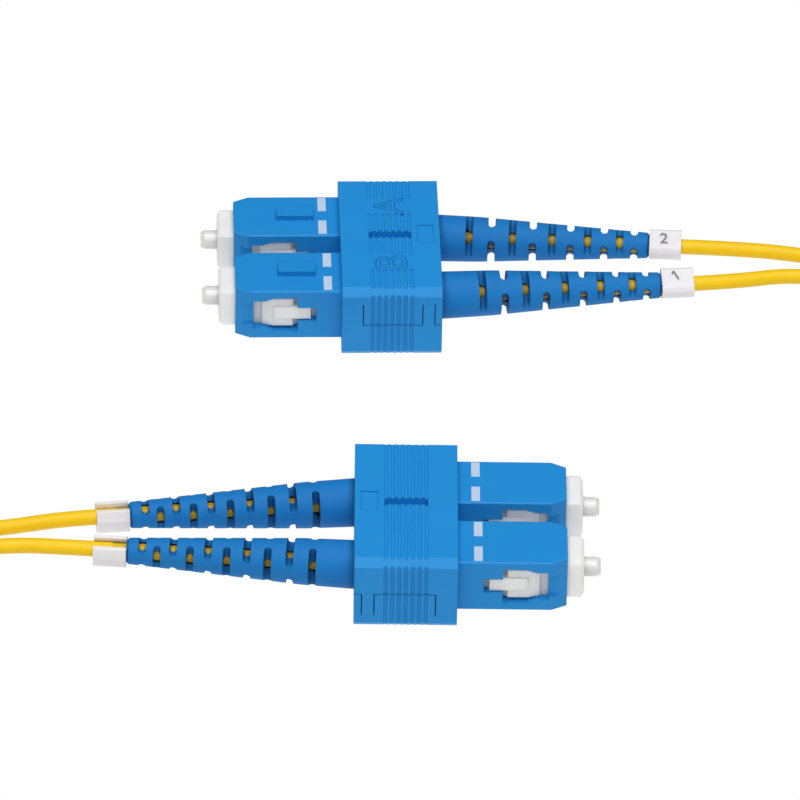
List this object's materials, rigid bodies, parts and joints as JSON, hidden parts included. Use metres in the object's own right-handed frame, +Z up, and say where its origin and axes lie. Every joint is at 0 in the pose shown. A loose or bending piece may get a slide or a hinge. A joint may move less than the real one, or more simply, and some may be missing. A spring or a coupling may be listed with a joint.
{
  "type": "duplex fibre optic patch cable",
  "caption": "Duplex fibre optic patch cable with push-pull SC plugs in a two-part clip at each end, slotted boots, number markers and a yellow twin cable.",
  "frame": {"origin": "on the table top, under the middle of the box round both ends without the cable", "axes": "+X along the plugs, towards the noses of the front end, whose keys face down; +Y from the front end to the rear one; +Z up"},
  "size_m": [0.141, 0.1322, 0.0105],
  "materials": {
    "housing_plastic": "satin",
    "clip_plastic": "satin",
    "plug_plastic": "satin",
    "ferrule_ceramic": "polished",
    "flange_metal": "machined",
    "spring_steel": "drawn",
    "stop_metal": "nickel plated",
    "crimp_metal": "crimped",
    "boot_rubber": "matt",
    "marker_plastic": "matt",
    "fibre_buffer": "matt",
    "cable_jacket": "satin"
  },
  "bodies": {
    "cable_assembly": {"plug_frame_a1": "plug_plastic", "spring_a1": "spring_steel", "stop_body_a1": "stop_metal", "crimp_ring_a1": "crimp_metal", "boot_a1": "boot_rubber", "number_marker_a1": "marker_plastic", "buffered_fibre_a1": "fibre_buffer", "cable_end_a1": "cable_jacket", "plug_frame_a2": "plug_plastic", "spring_a2": "spring_steel", "stop_body_a2": "stop_metal", "crimp_ring_a2": "crimp_metal", "boot_a2": "boot_rubber", "number_marker_a2": "marker_plastic", "buffered_fibre_a2": "fibre_buffer", "cable_end_a2": "cable_jacket", "plug_frame_b1": "plug_plastic", "spring_b1": "spring_steel", "stop_body_b1": "stop_metal", "crimp_ring_b1": "crimp_metal", "boot_b1": "boot_rubber", "number_marker_b1": "marker_plastic", "buffered_fibre_b1": "fibre_buffer", "cable_end_b1": "cable_jacket", "plug_frame_b2": "plug_plastic", "spring_b2": "spring_steel", "stop_body_b2": "stop_metal", "crimp_ring_b2": "crimp_metal", "boot_b2": "boot_rubber", "number_marker_b2": "marker_plastic", "buffered_fibre_b2": "fibre_buffer", "cable_end_b2": "cable_jacket", "cable_leg_1": "cable_jacket", "cable_leg_2": "cable_jacket"},
    "grip_a": {"clip_cover_a": "clip_plastic", "clip_base_a": "clip_plastic", "outer_housing_a1": "housing_plastic", "outer_housing_a2": "housing_plastic"},
    "ferrule_unit_a1": {"ferrule_a1": "ferrule_ceramic", "ferrule_flange_a1": "flange_metal"},
    "ferrule_unit_a2": {"ferrule_a2": "ferrule_ceramic", "ferrule_flange_a2": "flange_metal"},
    "grip_b": {"clip_cover_b": "clip_plastic", "clip_base_b": "clip_plastic", "outer_housing_b1": "housing_plastic", "outer_housing_b2": "housing_plastic"},
    "ferrule_unit_b1": {"ferrule_b1": "ferrule_ceramic", "ferrule_flange_b1": "flange_metal"},
    "ferrule_unit_b2": {"ferrule_b2": "ferrule_ceramic", "ferrule_flange_b2": "flange_metal"}
  },
  "joints": [
    {"name": "grip_a_slide", "type": "slide", "parent": "cable_assembly", "child": "grip_a", "axis": [-0.9996, -0.0291, 0], "range_m": [-0.001, 0.0005]},
    {"name": "ferrule_a1_slide", "type": "slide", "parent": "cable_assembly", "child": "ferrule_unit_a1", "axis": [0.9996, 0.0291, 0], "range_m": [0, 0.001], "stiffness_N_per_m": 1000, "deforming": ["spring_a1", "buffered_fibre_a1"]},
    {"name": "ferrule_a2_slide", "type": "slide", "parent": "cable_assembly", "child": "ferrule_unit_a2", "axis": [0.9996, 0.0291, 0], "range_m": [0, 0.001], "stiffness_N_per_m": 1000, "deforming": ["spring_a2", "buffered_fibre_a2"]},
    {"name": "grip_b_slide", "type": "slide", "parent": "cable_assembly", "child": "grip_b", "axis": [1, 0, 0], "range_m": [-0.001, 0.0005]},
    {"name": "ferrule_b1_slide", "type": "slide", "parent": "cable_assembly", "child": "ferrule_unit_b1", "axis": [-1, 0, 0], "range_m": [0, 0.001], "stiffness_N_per_m": 1000, "deforming": ["spring_b1", "buffered_fibre_b1"]},
    {"name": "ferrule_b2_slide", "type": "slide", "parent": "cable_assembly", "child": "ferrule_unit_b2", "axis": [-1, 0, 0], "range_m": [0, 0.001], "stiffness_N_per_m": 1000, "deforming": ["spring_b2", "buffered_fibre_b2"]}
  ]
}
